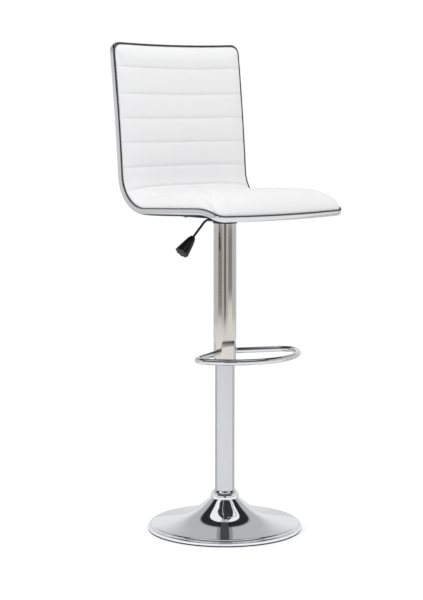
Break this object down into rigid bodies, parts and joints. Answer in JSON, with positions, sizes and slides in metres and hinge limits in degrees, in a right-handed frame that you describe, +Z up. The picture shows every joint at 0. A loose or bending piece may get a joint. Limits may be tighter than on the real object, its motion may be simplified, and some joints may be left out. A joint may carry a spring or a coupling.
{
  "type": "adjustable swivel stool",
  "caption": "Bar stool with a bent padded seat and back in a metal trim, gas lift column, loop footrest, height lever and round trumpet base.",
  "frame": {"origin": "on the column's axis at floor level, under the middle of the base", "axes": "+Z up along the column, -Y towards the front edge of the seat, -X towards the height lever"},
  "size_m": [0.419, 0.4207, 1.2288],
  "materials": {
    "chrome": "polished",
    "steel": "satin",
    "black_steel": "satin",
    "black_rubber": "matte",
    "black_plastic": "satin",
    "white_leather": "satin",
    "foam": "matte",
    "plywood": "satin"
  },
  "bodies": {
    "base": {"base_shell": "chrome", "base_edge_ring": "black_rubber", "base_plate": "black_steel", "base_socket": "steel", "base_collar": "chrome", "lower_tube": "chrome", "guide_bush": "black_plastic", "lower_race": "steel", "thrust_bearing": "steel"},
    "lift_rod": {"piston_rod": "steel", "piston": "steel", "upper_race": "steel", "retaining_clip": "steel"},
    "seat": {"gas_cylinder": "steel", "upper_tube": "chrome", "upper_tube_bottom_ring": "black_plastic", "upper_tube_top_ring": "black_plastic", "taper_cup": "steel", "footrest_loop": "chrome", "lever_housing": "black_steel", "lever_pin": "steel", "seat_plate": "black_steel", "seat_screw_1": "steel", "seat_screw_2": "steel", "seat_screw_3": "steel", "seat_screw_4": "steel", "seat_shell": "plywood", "trim_band": "chrome", "trim_gasket": "black_rubber", "seat_foam": "foam", "back_foam": "foam", "seat_cover": "white_leather", "back_cover": "white_leather", "under_cover": "black_plastic", "rear_cover": "white_leather"},
    "lever": {"lever_rod": "black_steel", "lever_grip": "black_plastic"},
    "button": {"valve_button": "steel"}
  },
  "joints": [
    {"name": "swivel", "type": "hinge", "parent": "base", "child": "lift_rod", "pos_m": [0, 0, 0.02], "axis": [0, 0, 1], "continuous": true},
    {"name": "height", "type": "slide", "parent": "lift_rod", "child": "seat", "axis": [0, 0, 1], "range_m": [-0.21, 0]},
    {"name": "lever_lift", "type": "hinge", "parent": "seat", "child": "lever", "pos_m": [-0.03, 0, 0.791], "axis": [0, 1, 0], "range_deg": [0, 4], "stiffness_Nm_per_rad": 6, "springref_deg": -5.73},
    {"name": "valve_press", "type": "slide", "parent": "seat", "child": "button", "axis": [0, 0, -1], "range_m": [0, 0.0024]}
  ],
  "couplings": [
    {"joint": "valve_press", "follows": "lever_lift", "m_per_rad": 0.03}
  ]
}
